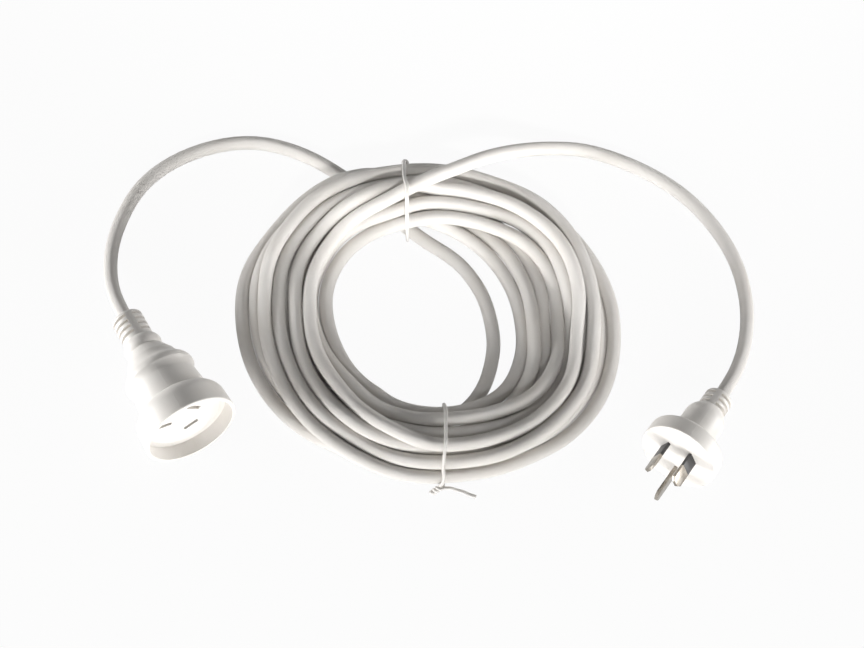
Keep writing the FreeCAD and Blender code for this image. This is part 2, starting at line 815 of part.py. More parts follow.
def make_cords():
    """The coil and the two free arms; returns their middle lines."""
    diameter = number("cord_diameter")
    back = socket_pose.Rotation.multVec(vec(0, 0, -1))
    plug_back = plug_pose.Rotation.multVec(vec(0, 0, -1))
    out = socket_pose.Base + back * number("socket_length")
    plug_out = plug_pose.Base + plug_back * number("plug_length")
    coil, coil_end = coil_route()
    least_gap(coil)
    shape_node("cord_coil", tube(coil, START_PLACE, diameter))
    socket_arm = rounded_route([
        out, out + back * 12.0,
        along_arm(WEST, 0.0, 66.0, 4.2), along_arm(WEST, 0.001, 80.5),
        along_arm(WEST, 0.032, 95.5), along_arm(WEST, 0.09, 111.1),
        along_arm(WEST, 0.192, 123.3), along_arm(WEST, 0.332, 131.5),
        along_arm(WEST, 0.475, 133.7), along_arm(WEST, 0.615, 128.3, lying + 0.6),
        along_arm(WEST, 0.734, 118.6, over_tie), START_PLACE - START_WAY * 24.0,
        START_PLACE], "cord_socket_end")
    shape_node("cord_socket_end", tube(socket_arm, out, diameter))
    plug_arm = rounded_route([
        coil_end, coil_end + END_WAY * 10.0,
        along_arm(EAST, 0.864, 111.3, 27.0), along_arm(EAST, 0.776, 118.1, 24.0),
        along_arm(EAST, 0.681, 124.3, 16.0), along_arm(EAST, 0.58, 128.7, 7.4),
        along_arm(EAST, 0.479, 129.5), along_arm(EAST, 0.372, 124.1),
        along_arm(EAST, 0.268, 116.1), along_arm(EAST, 0.173, 105.5),
        along_arm(EAST, 0.094, 91.3), along_arm(EAST, 0.037, 76.0),
        along_arm(EAST, 0.009, 61.0), along_arm(EAST, 0.0, 46.5),
        along_arm(EAST, 0.01, 32.5), along_arm(EAST, 0.034, 20.5), plug_out + plug_back * 7.2,
        plug_out], "cord_plug_end")
    shape_node("cord_plug_end", tube(plug_arm, coil_end, diameter))
    print(f"cord in all {coil.Length + socket_arm.Length + plug_arm.Length:.0f} mm")
    return [coil, socket_arm, plug_arm]


# Ties

def strands_at(routes, east, northern):
    """Where the cord crosses an east-west plane: centres that stand for each slanted section."""
    spots = []
    for route in routes:
        points = route.discretize(Number=int(route.Length / 2))
        for one, two in zip(points, points[1:]):
            if (one.x - east) * (two.x - east) >= 0 or (one.y > number("coil_north")) != northern:
                continue
            spot = one + (two - one) * ((east - one.x) / (two.x - one.x))
            slant = abs(two.y - one.y) / abs(two.x - one.x)
            widening = lying * (math.hypot(1, slant) - 1) + number("tie_wire") / 2 * slant
            spots += [(spot.y - widening, spot.z), (spot.y + widening, spot.z)]
    return spots


def hull(spots):
    """The outermost centres, anticlockwise."""
    spots = sorted(spots)
    chains = []
    for run in (spots, spots[::-1]):
        chain = []
        for spot in run:
            while len(chain) > 1:
                (ax, ay), (bx, by) = chain[-2], chain[-1]
                if (bx - ax) * (spot[1] - ay) - (by - ay) * (spot[0] - ax) > 1e-6:
                    break
                chain.pop()
            chain.append(spot)
        chains += chain[:-1]
    return chains


def tie_loop(routes, east, northern):
    """A wire drawn taut round all strands in one plane."""
    corners = [vec(east, y, z) for y, z in hull(strands_at(routes, east, northern))]
    reach = lying + number("tie_wire") / 2 + number("tie_slack")
    pairs = list(zip(corners, corners[1:] + corners[:1]))
    outward = [(two - one).cross(vec(1, 0, 0)).normalize() * reach for one, two in pairs]
    edges = []
    for index, (one, two) in enumerate(pairs):
        after = outward[(index + 1) % len(pairs)]
        edges.append(Part.LineSegment(one + outward[index], two + outward[index]).toShape())
        middle = (outward[index] + after).normalize() * reach
        edges.append(Part.Arc(two + outward[index], two + middle, two + after).toShape())
    return Part.Wire(edges)


def placed_edge(edge, placement):
    """End point and heading of an edge's end, moved by a placement."""
    end = edge.LastParameter
    return (placement.multVec(edge.valueAt(end)),
            placement.Rotation.multVec(edge.tangentAt(end)).normalize())


def make_tie(name, routes, east, northern, twist_turns, tail_points):
    """The loop, the twist of its two ends and the longer end left over."""
    wire, pitch = number("tie_wire"), number("tie_twist_pitch")
    loop = tie_loop(routes, east, northern)
    solid = tube(loop, loop.Edges[0].valueAt(loop.Edges[0].FirstParameter), wire)
    points = loop.discretize(Number=400)
    outer = max(points, key=lambda point: point.y if northern else -point.y)
    way = vec(0, 0.96 if northern else -0.96, -0.28)
    strand_radius = wire * 0.45
    helix = Part.makeHelix(pitch, pitch * twist_turns, wire / 2)
    first = helix.Edges[0]
    start = first.FirstParameter
    section = Part.Circle(first.valueAt(start), first.tangentAt(start), strand_radius).toShape()
    strand = Part.Wire(helix.Edges).makePipeShell([Part.Wire(section)], True, True)
    upright = FreeCAD.Rotation(way, vec(0, 0, 1), way, "ZXY")
    for turn in (0, 180):
        spin = upright.multiply(FreeCAD.Rotation(vec(0, 0, 1), turn))
        place = FreeCAD.Placement(outer, spin)
        solid = solid.fuse(strand.transformed(place.Matrix))
    if tail_points:
        end, heading = placed_edge(helix.Edges[-1], place)
        route = rounded_route([end - heading * 0.5, end + heading * 2.5] + tail_points, name)
        solid = solid.fuse(tube(route, end - heading * 0.5, strand_radius * 1.9))
    print(f"{name}: loop {loop.Length:.0f} mm, outermost at {outer}")
    shape_node(name, solid)


make_plug_body()
make_pin_carrier()
for blade in STATIONS:
    make_pin(blade)
make_sleeve("active")
make_sleeve("neutral")
make_sheath_end("plug_sheath_end", plug_pose, size("plug_bore_start") + 1.0, size("plug_length"))
plug_crimp_end = (number("plug_face_wall") + number("plug_carrier_depth") + number("blade_tail")
                  + number("crimp_length"))
make_cores("plug", plug_pose, {"active": number("line_blade_radius"),
                               "neutral": number("line_blade_radius"),
                               "earth": number("crimp_station")},
           plug_crimp_end, number("plug_core_meet"), number("plug_length"))

make_socket_body()
make_socket_face()
make_contact_carrier()
for blade in STATIONS:
    make_contact(blade)
make_sheath_end("socket_sheath_end", socket_pose, size("socket_bore_start") + 1.0,
                size("socket_length"))
contact_end = (number("recess_depth") + number("face_thickness") + number("fit_clearance") * 4
               + number("contact_length") + number("crimp_length"))
make_cores("socket", socket_pose, {"active": number("line_blade_radius"),
                                   "neutral": number("line_blade_radius"),
                                   "earth": number("earth_blade_radius")},
           contact_end, number("socket_core_meet"), number("socket_length"))

cords = make_cords()
make_tie("tie_top", cords, number("top_tie_east"), True, 1.0, [])
make_tie("tie_bottom", cords, number("bottom_tie_east"), False, 1.5,
         [vec(17.0, -53.0, 1.2), vec(26.0, -55.0, 0.8)])

doc.recompute()
for item in doc.Objects:
    if any(word in item.State for word in ("Invalid", "Error")):
        raise RuntimeError(f"{item.Name} failed to recompute: {item.State}")
for node in nodes:
    if node.Shape.isNull() or not node.Shape.isValid():
        raise RuntimeError(f"{node.Label} has no valid shape")

os.makedirs("parts", exist_ok=True)
for node in nodes:
    node.Shape.exportStep(f"parts/{node.Label}.step")
    print(f"{node.Label}: {len(node.Shape.Solids)} solid, {node.Shape.Volume:.0f} mm3")
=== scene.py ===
import math

import bmesh
import bpy
import numpy as np
from mathutils import Matrix, Vector


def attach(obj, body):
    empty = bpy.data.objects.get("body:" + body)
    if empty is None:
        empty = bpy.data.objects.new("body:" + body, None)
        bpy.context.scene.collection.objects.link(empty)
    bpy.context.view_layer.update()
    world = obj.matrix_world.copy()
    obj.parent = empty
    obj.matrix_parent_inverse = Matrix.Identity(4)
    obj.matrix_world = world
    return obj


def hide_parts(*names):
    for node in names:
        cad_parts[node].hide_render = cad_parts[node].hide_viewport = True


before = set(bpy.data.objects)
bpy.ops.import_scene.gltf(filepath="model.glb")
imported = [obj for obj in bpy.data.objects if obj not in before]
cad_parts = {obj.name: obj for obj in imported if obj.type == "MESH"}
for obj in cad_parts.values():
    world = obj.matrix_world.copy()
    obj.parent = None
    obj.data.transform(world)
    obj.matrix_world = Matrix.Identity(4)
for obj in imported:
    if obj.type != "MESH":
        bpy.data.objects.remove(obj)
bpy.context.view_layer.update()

# A three-pin extension cord as it is sold: a tied coil with a plug and a socket on two free arms.
# Places are in millimetres in the text below and in metres in the scene.

BODY = "lead"
MM = 0.001
CORD_DIAMETER = 6.6
LYING = CORD_DIAMETER / 2  # how high the middle of a cord is that lies on the table


# Camera: the photograph's own distance and angle

AIM = Vector((5.1, 42.75, 0.0)) * MM
DISTANCE = 1.2
ELEVATION = math.radians(73.0)
SENSOR_WIDTH, LENS = 36.0, 105.9
FOCAL = 2542.0  # the lens in the photograph's pixels
PHOTO_MIDDLE = (432, 324)
back = Vector((0.0, -math.cos(ELEVATION), math.sin(ELEVATION)))
camera = bpy.data.objects.new("camera", bpy.data.cameras.new("camera"))
camera.data.sensor_width = SENSOR_WIDTH
camera.data.lens = LENS
camera.data.clip_start = 0.05
camera.location = AIM + back * DISTANCE
camera.rotation_euler = (-back).to_track_quat("-Z", "Y").to_euler()
bpy.context.scene.collection.objects.link(camera)
bpy.context.scene.camera = camera


def on_photo(px, py, height):
    """The place at this height above the table that the photograph shows at this pixel."""
    right = Vector((1, 0, 0)) * ((px - PHOTO_MIDDLE[0]) / FOCAL)
    up = Vector((0.0, math.sin(ELEVATION), math.cos(ELEVATION)))
    ray = -back + right + up * ((PHOTO_MIDDLE[1] - py) / FOCAL)
    start = (AIM + back * DISTANCE) / MM
    return start + ray * ((height - start.z) / ray.z)


# The cord's line. The free arms' points are the route's own. Each turn of the coil starts at the
# top and goes on past the right side, the bottom and the left side. A place is (pixel across the
# photograph, pixel down, height above the table in mm). A turn has more places where its line
# leaves the one beside it.

TURNS = [
    [(468, 272, 3.6), (493.5, 330, 3.3), (491, 372, 3.3), (480, 399, 3.3), (461, 420, 3.3),
     (437, 434, 3.3), (405, 436, 3.3), (350, 408, 3.3), (298, 320, 3.3), (309, 250, 3.3),
     (350, 214, 11)],
    [(406, 210, 14), (473, 235, 9), (500, 262, 4), (526.5, 330, 3.3), (523, 368, 3.3),
     (508, 398, 6), (480, 414, 9.5), (447, 424, 9.5), (400, 416, 4), (370, 401, 3.3),
     (319, 310, 3.3), (330, 260, 5), (353, 238, 9)],
    [(406, 215.5, 17), (500, 227, 14), (545, 259, 9), (563, 330, 5), (547, 393, 10),
     (500, 414, 13.5), (447, 423, 15), (400, 422, 9), (356, 397, 7), (307, 320, 3.3),
     (322, 250, 5)],
    [(406, 202, 19.5), (470, 203, 17), (525, 219, 13), (561, 257, 9), (575, 330, 4),
     (553, 398, 8), (447, 433, 14.5), (380, 425, 8), (312, 402, 3.3), (270, 310, 3.3),
     (288, 240, 3.3), (350, 190, 12)],
    [(406, 203, 13), (490, 236, 10), (514, 261, 8), (534, 330, 8), (530, 388, 6),
     (447, 440, 8), (336, 405, 3.3), (284, 315, 3.3), (298, 246, 3.3), (350, 204, 12)],
    [(406, 192, 14), (500, 228, 9), (532, 259, 5), (549.5, 330, 4), (541, 390, 3.5),
     (447, 450, 3.3), (292, 402, 3.3), (255.5, 305, 3.3), (277, 253, 5), (350, 190, 12)],
    [(406, 185, 12), (535, 226, 5), (586, 330, 3.3), (566, 402, 3.3),
     (447, 462, 3.3), (330, 440, 3.3), (275, 400, 3.3), (243.5, 310, 3.3), (266, 247, 3.3),
     (340, 184, 9)],
    [(406, 180, 9), (530, 210, 4), (583, 266, 3.3), (609, 330, 3.3), (582, 410, 3.3),
     (536, 452, 3.3), (447, 474, 3.5), (365, 459, 4.5), (310, 420, 7), (277, 370, 8.5),
     (264, 305, 9.3), (279, 240, 9.5)],
    [(406, 175.5, 12.5), (500, 189, 11), (551, 216, 10.5), (584, 262, 10), (594.5, 330, 9.8),
     (574, 403, 10), (447, 460.5, 9.5), (340, 428, 10), (297, 380, 10), (278, 305, 9.5),
     (295, 240, 9.8)],
    [(406, 181, 14), (500, 198, 8), (570, 250, 4), (599, 330, 3.3), (580, 408, 3.3),
     (447, 452, 8), (325, 402, 6), (294, 305, 9.5), (311.5, 240, 11)],
    [(406, 184, 18), (440, 190.5, 18), (470, 195, 16.5), (530, 218, 14.5), (567, 258, 13),
     (577, 330, 10.5), (562, 396, 13), (447, 447, 15), (398, 433, 14), (349, 400, 12),
     (308.5, 305, 12), (331, 240, 15)],
]
COIL_END = (406, 187.8, 25)

SOCKET_ARM = [
    (-138.33, 42.89, 9.08), (-144.19, 53.04, 6.5), (-147.34, 66.0, 4.2), (-147.19, 80.5, 3.3),
    (-142.77, 95.5, 3.3), (-134.48, 111.1, 3.3), (-119.91, 123.3, 3.3), (-99.91, 131.5, 3.3),
    (-79.49, 133.7, 3.3), (-59.49, 128.3, 3.9), (-42.49, 118.6, 5.04), (-22.06, 103.36, 5.04),
    (-4.5, 87.0, 5.04)]
PLUG_ARM = [
    (17.05, 111.3, 27.0), (31.0, 118.1, 24.0), (46.05, 124.3, 16.0), (62.05, 128.7, 7.4),
    (78.06, 129.5, 3.3), (95.02, 124.1, 3.3), (111.5, 116.1, 3.3), (126.55, 105.5, 3.3),
    (139.07, 91.3, 3.3), (148.1, 76.0, 3.3), (152.54, 61.0, 3.3), (153.96, 46.5, 3.3),
    (152.38, 32.5, 3.3), (148.58, 20.5, 3.3), (142.92, 10.89, 3.41), (139.14, 5.29, 5.9)]

# How the coil settles. A round lets the line drop, pulls it towards the photographed line, evens
# out a share of its stray bends and pushes touching turns apart a few times. In the last rounds
# nothing drops any more.
SPACING = 6.0  # between the points of the line
LEAST_RADIUS = 38.0  # the tightest bend that the line is straightened to
ROUNDS, LAST_ROUNDS = 600, 150
AT_FIRST = {"drop": 0.04, "pull": 0.03, "evened": 0.25, "pushes": 4}
AT_LAST = {"drop": 0.0, "pull": 0.004, "evened": 0.03, "pushes": 9}
PULL_IN_HEIGHT = 0.3  # share of the pull that acts up and down
KEPT_BEND = 0.9  # share of the photographed bends that isn't evened out
NEAR = 1.3  # diameters between two points that are watched as a pair
SPARE = 0.1  # how far past touching a pair is pushed
SLIDE = 0.6  # share of a push along the cord that is left out
PUSH_SHARE, OVERSHOOT = 4, 1.6
STRAIGHTENINGS = 80
LAST_SLACK = 1.2  # how much more bend the last straightening lets stand


def through(points, spacing):
    """Evenly spaced points on a smooth line through the given ones."""
    curve = bpy.data.curves.new("guide", "CURVE")
    curve.dimensions = "3D"
    curve.resolution_u = 24
    spline = curve.splines.new("BEZIER")
    spline.bezier_points.add(len(points) - 1)
    for knot, point in zip(spline.bezier_points, points):
        knot.co = point
        knot.handle_left_type = knot.handle_right_type = "AUTO"
    guide = bpy.data.objects.new("guide", curve)
    mesh = bpy.data.meshes.new_from_object(guide)
    line = np.array([v.co for v in mesh.vertices])
    bpy.data.objects.remove(guide)
    bpy.data.meshes.remove(mesh)
    bpy.data.curves.remove(curve)
    along = np.concatenate([[0], np.cumsum(np.linalg.norm(np.diff(line, axis=0), axis=1))])
    places = np.linspace(0, along[-1], int(along[-1] / spacing) + 1)
    return np.stack([np.interp(places, along, line[:, k]) for k in range(3)], -1)


def too_bent(line, most_bend):
    """How far each inner point is from where the stiffest allowed bend would have it."""
    away = (line[:-2] + line[2:]) / 2 - line[1:-1]
    size = np.linalg.norm(away, axis=1)[:, None] + 1e-9
    return away * np.clip(1 - most_bend / size, 0, None)


def push_apart(line, one, two, held):
    """Moves the paired points whose cords run into each other away from each other."""
    way = np.gradient(line, axis=0)
    way /= np.linalg.norm(way, axis=1)[:, None]
    apart = line[one] - line[two]
    apart -= (apart * way[one]).sum(1)[:, None] * way[one] * SLIDE
    gap = np.linalg.norm(apart, axis=1) + 1e-9
    push = np.clip(CORD_DIAMETER + SPARE - gap, 0, None)[:, None] * apart
    push = push / gap[:, None] / PUSH_SHARE
    moved, share = np.zeros_like(line), np.zeros(len(line))
    np.add.at(moved, one, push * (1 + held[two, None]))
    np.add.at(moved, two, -push * (1 + held[one, None]))
    np.add.at(share, one, gap < CORD_DIAMETER)
    np.add.at(share, two, gap < CORD_DIAMETER)
    line += moved / np.maximum(share, 1)[:, None] * OVERSHOOT


def settled(target, held_start, held_end):
    """Lets the turns sink onto the table and each other, as stiff cord does, near their places."""
    target = target.copy()
    held = np.zeros(len(target), bool)
    held[:held_start] = held[-held_end:] = True
    free = ~held[1:-1, None]
    nearest_along = int(3 * CORD_DIAMETER / SPACING)
    most_bend = SPACING ** 2 / (2 * LEAST_RADIUS)
    bend = target[1:-1] - (target[:-2] + target[2:]) / 2
    bend *= np.minimum(1, most_bend / (np.linalg.norm(bend, axis=1)[:, None] + 1e-9))
    for _ in range(STRAIGHTENINGS):
        target[1:-1] += 0.5 * too_bent(target, most_bend) * free
    line = target.copy()
    for step in range(ROUNDS):
        now = AT_LAST if step > ROUNDS - LAST_ROUNDS else AT_FIRST
        if step % 4 == 0:
            gaps = np.linalg.norm(line[:, None] - line[None], axis=2)
            one, two = np.nonzero(np.triu(gaps < CORD_DIAMETER * NEAR, nearest_along))
        line[:, 2] -= now["drop"]
        line[:, :2] += now["pull"] * (target[:, :2] - line[:, :2])
        line[:, 2] += now["pull"] * PULL_IN_HEIGHT * (target[:, 2] - line[:, 2])
        for _ in range(2):
            middle = (line[:-2] + line[2:]) / 2
            line[1:-1] += now["evened"] * (middle + bend * KEPT_BEND - line[1:-1])
            line[1:-1] += 0.5 * too_bent(line, most_bend)
        for _ in range(now["pushes"]):
            push_apart(line, one, two, held)
            line[:, 2] = np.maximum(line[:, 2], LYING)
            line[held] = target[held]
    for _ in range(STRAIGHTENINGS):
        line[1:-1] += 0.5 * too_bent(line, most_bend * LAST_SLACK) * free
        line[:, 2] = np.maximum(line[:, 2], LYING)
    return line


def length_of(points):
    return sum((Vector(b) - Vector(a)).length for a, b in zip(points, points[1:]))


# The line that settles starts and ends some way out on the arms, where it is held in place
lead_in, lead_out = SOCKET_ARM[7:], PLUG_ARM[:6]
guide_points = [Vector(p) for p in lead_in]
guide_points += [on_photo(*place) for turn in TURNS for place in turn] + [on_photo(*COIL_END)]
guide_points += [Vector(p) for p in lead_out]
held_start = 1 + int(length_of(lead_in) / SPACING)
held_end = 2 + int(length_of(lead_out) / SPACING)
line = settled(through(guide_points, SPACING), held_start, held_end)
cord_points = [Vector(p) for p in SOCKET_ARM]
cord_points += [Vector(p) for p in line[held_start + 1:-held_end]]
cord_points += [Vector(p) for p in PLUG_ARM]

curve = bpy.data.curves.new("cord", "CURVE")
curve.dimensions = "3D"
curve.bevel_depth = 1.0
curve.bevel_resolution = 6
curve.resolution_u = 4
curve.use_fill_caps = True
spline = curve.splines.new("NURBS")
spline.points.add(len(cord_points) - 1)
for knot, point in zip(spline.points, cord_points):
    knot.co = (*(point * MM), 1.0)
    knot.radius = CORD_DIAMETER / 2 * MM
spline.order_u = 3
spline.use_endpoint_u = True
cord = bpy.data.objects.new("cord", curve)
bpy.context.scene.collection.objects.link(cord)
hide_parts("cord_socket_end", "cord_coil", "cord_plug_end")
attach(cord, BODY)


# Ties: coated wire round the whole bundle, its two ends twisted together

WIRE = 1.7
WIRE_ACROSS, WIRE_THROUGH = 0.55, 0.43  # its section's two half widths, as shares of WIRE
WIRE_LOWEST = WIRE * 0.62
WIRE_TURN = 0.25  # of the section from one point of the wire to the next
WIRE_SLACK = 0.15  # between the wire's coat and the sheaths that it holds
ARC_STEP = 0.5  # radians between points where the wire goes round a strand
TWIST_PITCH = 3.6
TWIST_REACH = 0.45  # from the twist's middle to each wire's, as a share of WIRE
TWIST_STEPS = 8  # points in each turn of the twist


def crossings(line, east, northern):
    """Where the cord crosses an east-west plane, widened for the strands that cross it aslant."""
    spots = []
    for one, two in zip(line, line[1:]):
        if (one[0] - east) * (two[0] - east) >= 0 or (one[1] > AIM.y / MM) != northern:
            continue
        spot = one + (two - one) * ((east - one[0]) / (two[0] - one[0]))
        slant = abs(two[1] - one[1]) / abs(two[0] - one[0])
        wider = CORD_DIAMETER / 2 * (math.hypot(1, slant) - 1) + WIRE / 2 * slant
        spots += [(spot[1] - wider, spot[2]), (spot[1] + wider, spot[2])]
    return spots


def hull(spots):
    """The outermost of the spots, in order round them."""
    spots = sorted(spots)
    chains = []
    for run in (spots, spots[::-1]):
        chain = []
        for spot in run:
            while len(chain) > 1:
                (ax, ay), (bx, by) = chain[-2], chain[-1]
                if (bx - ax) * (spot[1] - ay) - (by - ay) * (spot[0] - ax) > 1e-6:
                    break
                chain.pop()
            chain.append(spot)
        chains += chain[:-1]
    return chains


def loop_round(line, east, northern, kink):
    """Points of a wire drawn taut round the strands, shifted sideways as kink says for each y."""
    corners = hull(crossings(line, east, northern))
    reach = CORD_DIAMETER / 2 + WIRE / 2 + WIRE_SLACK
    points = []
    for index, (y, z) in enumerate(corners):
        before = Vector(corners[index]) - Vector(corners[index - 1])
        after = Vector(corners[(index + 1) % len(corners)]) - Vector(corners[index])
        turns = [math.atan2(-side.x, side.y) for side in (before, after)]
        if turns[1] < turns[0]:
            turns[1] += 2 * math.pi
        steps = max(1, round((turns[1] - turns[0]) / ARC_STEP))
        for step in range(steps + 1):
            angle = turns[0] + (turns[1] - turns[0]) * step / steps
            place_y = y + math.cos(angle) * reach
            place_z = max(z + math.sin(angle) * reach, WIRE / 2)
            points.append(Vector((float(np.interp(place_y, *kink)), place_y, place_z)))
    return points


def twisted_ends(start, way, turns):
    """Two lines that wind round each other from start along way."""
    way = way.normalized()
    side = way.orthogonal().normalized()
    other = way.cross(side)
    lines = ([], [])
    steps = int(turns * TWIST_STEPS)
    for step in range(steps + 1):
        angle = 2 * math.pi * step / TWIST_STEPS
        out = (side * math.cos(angle) + other * math.sin(angle)) * WIRE * TWIST_REACH
        along = start + way * (TWIST_PITCH * step / TWIST_STEPS)
        lines[0].append(along + out)
        lines[1].append(along - out)
    return lines


def wire_piece(name, points, node):
    """A coated wire: a flattened round section that turns slowly along the wire."""
    outline = bpy.data.curves.new(name + "_section", "CURVE")
    outline.resolution_u = 4
    ring = outline.splines.new("BEZIER")
    ring.bezier_points.add(3)
    quarters = ((WIRE_ACROSS, 0), (0, WIRE_THROUGH), (-WIRE_ACROSS, 0), (0, -WIRE_THROUGH))
    for knot, (x, y) in zip(ring.bezier_points, quarters):
        knot.co = (x * WIRE * MM, y * WIRE * MM, 0)
        knot.handle_left_type = knot.handle_right_type = "AUTO"
    ring.use_cyclic_u = True
    section = bpy.data.objects.new(name + "_section", outline)
    path = bpy.data.curves.new(name + "_path", "CURVE")
    path.dimensions = "3D"
    path.resolution_u = 5
    path.bevel_mode = "OBJECT"
    path.bevel_object = section
    path.use_fill_caps = True
    run = path.splines.new("BEZIER")
    run.bezier_points.add(len(points) - 1)
    for index, (knot, point) in enumerate(zip(run.bezier_points, points)):
        knot.co = Vector((point.x, point.y, max(point.z, WIRE_LOWEST))) * MM
        knot.handle_left_type = knot.handle_right_type = "AUTO"
        knot.tilt = WIRE_TURN * index
    drawn = bpy.data.objects.new(name + "_path", path)
    for item in (section, drawn):
        bpy.context.scene.collection.objects.link(item)
    bpy.context.view_layer.update()
    mesh = bpy.data.meshes.new_from_object(
        drawn.evaluated_get(bpy.context.evaluated_depsgraph_get()))
    for item in (drawn, section):
        bpy.data.objects.remove(item)
    shape = bmesh.new()
    shape.from_mesh(mesh)
    bmesh.ops.remove_doubles(shape, verts=shape.verts, dist=1e-7)
    bmesh.ops.recalc_face_normals(shape, faces=shape.faces)
    for face in shape.faces:
        face.smooth = len(face.verts) == 4
    shape.to_mesh(mesh)
    shape.free()
    piece = bpy.data.objects.new(name, mesh)
    bpy.context.scene.collection.objects.link(piece)
    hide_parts(node)
    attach(piece, BODY)
    return piece


def tie_piece(name, node, east, northern, kink, way, turns, tails):
    """The loop, opened at its outermost point, with its ends twisted and their tails."""
    points = loop_round(line, east, northern, kink)
    outward = 1 if northern else -1
    first = max(range(len(points)), key=lambda index: points[index].y * outward)
    loop = points[first:] + points[:first]
    knot = loop[0] + Vector((0, outward * 0.4, 0))
    ends = twisted_ends(knot + way.normalized() * 1.2, way, turns)
    one = list(reversed(ends[0] + tails[0]))
    two = list(ends[1] + tails[1])
    return wire_piece(name, one + loop[1:] + two, node)


tie_top = tie_piece("top_tie", "tie_top", -7.2, True,
                    ([60, 101, 106, 140], [-6.6, -6.6, -8.0, -8.2]),
                    Vector((0.1, 0.25, -1.0)), 1.5, ([], []))
tail = [on_photo(449, 488, 4.5), on_photo(456, 490, 3.2), on_photo(463, 492, 2.4),
        on_photo(470, 495, 1.6), on_photo(476, 497, 1.2)]
tie_bottom = tie_piece("bottom_tie", "tie_bottom", 11.2, False,
                       ([-40, -28, -21, -4, 1, 6, 40], [10.2, 10.2, 11.4, 11.4, 10.6, 9.4, 9.2]),
                       Vector((-0.8, -0.42, -0.45)), 1.5, (tail, []))


# Blades and their sleeves with their small edge rounds

SHARP_EDGE = math.radians(40.0)  # an edge that turns more than this is rounded
FLAT_EDGE = math.radians(0.6)  # an edge that turns less than this is dissolved


def rounded_copy(node, name, width):
    """The node's shape with every sharp edge rounded, as it leaves a mould or a press."""
    mesh = bpy.data.meshes.new(name)
    shape = bmesh.new()
    shape.from_mesh(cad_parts[node].data)
    bmesh.ops.remove_doubles(shape, verts=shape.verts, dist=2e-6)
    bmesh.ops.dissolve_limit(shape, angle_limit=FLAT_EDGE, verts=shape.verts, edges=shape.edges)
    edges = [edge for edge in shape.edges
             if edge.is_manifold and edge.calc_face_angle() > SHARP_EDGE]
    bmesh.ops.bevel(shape, geom=edges, offset=width * MM, offset_type="OFFSET", segments=3,
                    profile=0.5, affect="EDGES", clamp_overlap=True, material=-1)
    bmesh.ops.recalc_face_normals(shape, faces=shape.faces)
    for face in shape.faces:
        face.smooth = True
    shape.to_mesh(mesh)
    shape.free()
    mesh.set_sharp_from_angle(angle=math.radians(30))
    piece = bpy.data.objects.new(name, mesh)
    bpy.context.scene.collection.objects.link(piece)
    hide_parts(node)
    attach(piece, BODY)
    return piece


rounded = {}
for node, name, slot, width in (
        ("active_pin", "active_blade", "blade", 0.22),
        ("neutral_pin", "neutral_blade", "blade", 0.22),
        ("earth_pin", "earth_blade", "blade", 0.22),
        ("active_pin_sleeve", "active_blade_sleeve", "sleeve", 0.18),
        ("neutral_pin_sleeve", "neutral_blade_sleeve", "sleeve", 0.18)):
    rounded[node] = rounded_copy(node, name, width)


# Finishes

def shader_group(name, inputs, outputs):
    """An empty node group with these inputs and outputs."""
    made = bpy.data.node_groups.new(name, "ShaderNodeTree")
    for label, kind in inputs:
        made.interface.new_socket(name=label, in_out="INPUT", socket_type="NodeSocket" + kind)
    for label, kind in outputs:
        made.interface.new_socket(name=label, in_out="OUTPUT", socket_type="NodeSocket" + kind)
    return made, made.nodes.new("NodeGroupInput"), made.nodes.new("NodeGroupOutput")


def noise(tree, place, scale, detail=2.0, roughness=0.5):
    node = tree.nodes.new("ShaderNodeTexNoise")
    node.inputs["Scale"].default_value = scale
    node.inputs["Detail"].default_value = detail
    node.inputs["Roughness"].default_value = roughness
    tree.links.new(place, node.inputs["Vector"])
    return node.outputs["Fac"]


def fitted(tree, value, low, high, new_low, new_high):
    """The value's stretch from low to high, laid softly over the new one."""
    node = tree.nodes.new("ShaderNodeMapRange")
    node.interpolation_type = "SMOOTHSTEP"
    for label, number in (("From Min", low), ("From Max", high),
                          ("To Min", new_low), ("To Max", new_high)):
        socket = node.inputs[label]
        if isinstance(number, (int, float)):
            socket.default_value = number
        else:
            tree.links.new(number, socket)
    tree.links.new(value, node.inputs["Value"])
    return node.outputs["Result"]


def worked(tree, operation, one, two=0.0):
    """The outcome of a sum on two values; some operations take only the first."""
    node = tree.nodes.new("ShaderNodeMath")
    node.operation = operation
    for socket, value in zip(node.inputs, (one, two)):
        if isinstance(value, (int, float)):
            socket.default_value = value
        else:
            tree.links.new(value, socket)
    return node.outputs["Value"]


def blended(tree, share, one, two):
    node = tree.nodes.new("ShaderNodeMix")
    node.data_type = "RGBA"
    tree.links.new(share, node.inputs["Factor"])
    for label, colour in (("A", one), ("B", two)):
        socket = [s for s in node.inputs if s.name == label and s.type == "RGBA"][0]
        if isinstance(colour, tuple):
            socket.default_value = (*colour, 1)
        else:
            tree.links.new(colour, socket)
    return [s for s in node.outputs if s.type == "RGBA"][0]


def stretched(tree, place, scale):
    node = tree.nodes.new("ShaderNodeVectorMath")
    node.operation = "MULTIPLY"
    node.inputs[1].default_value = scale
    tree.links.new(place, node.inputs[0])
    return node.outputs["Vector"]


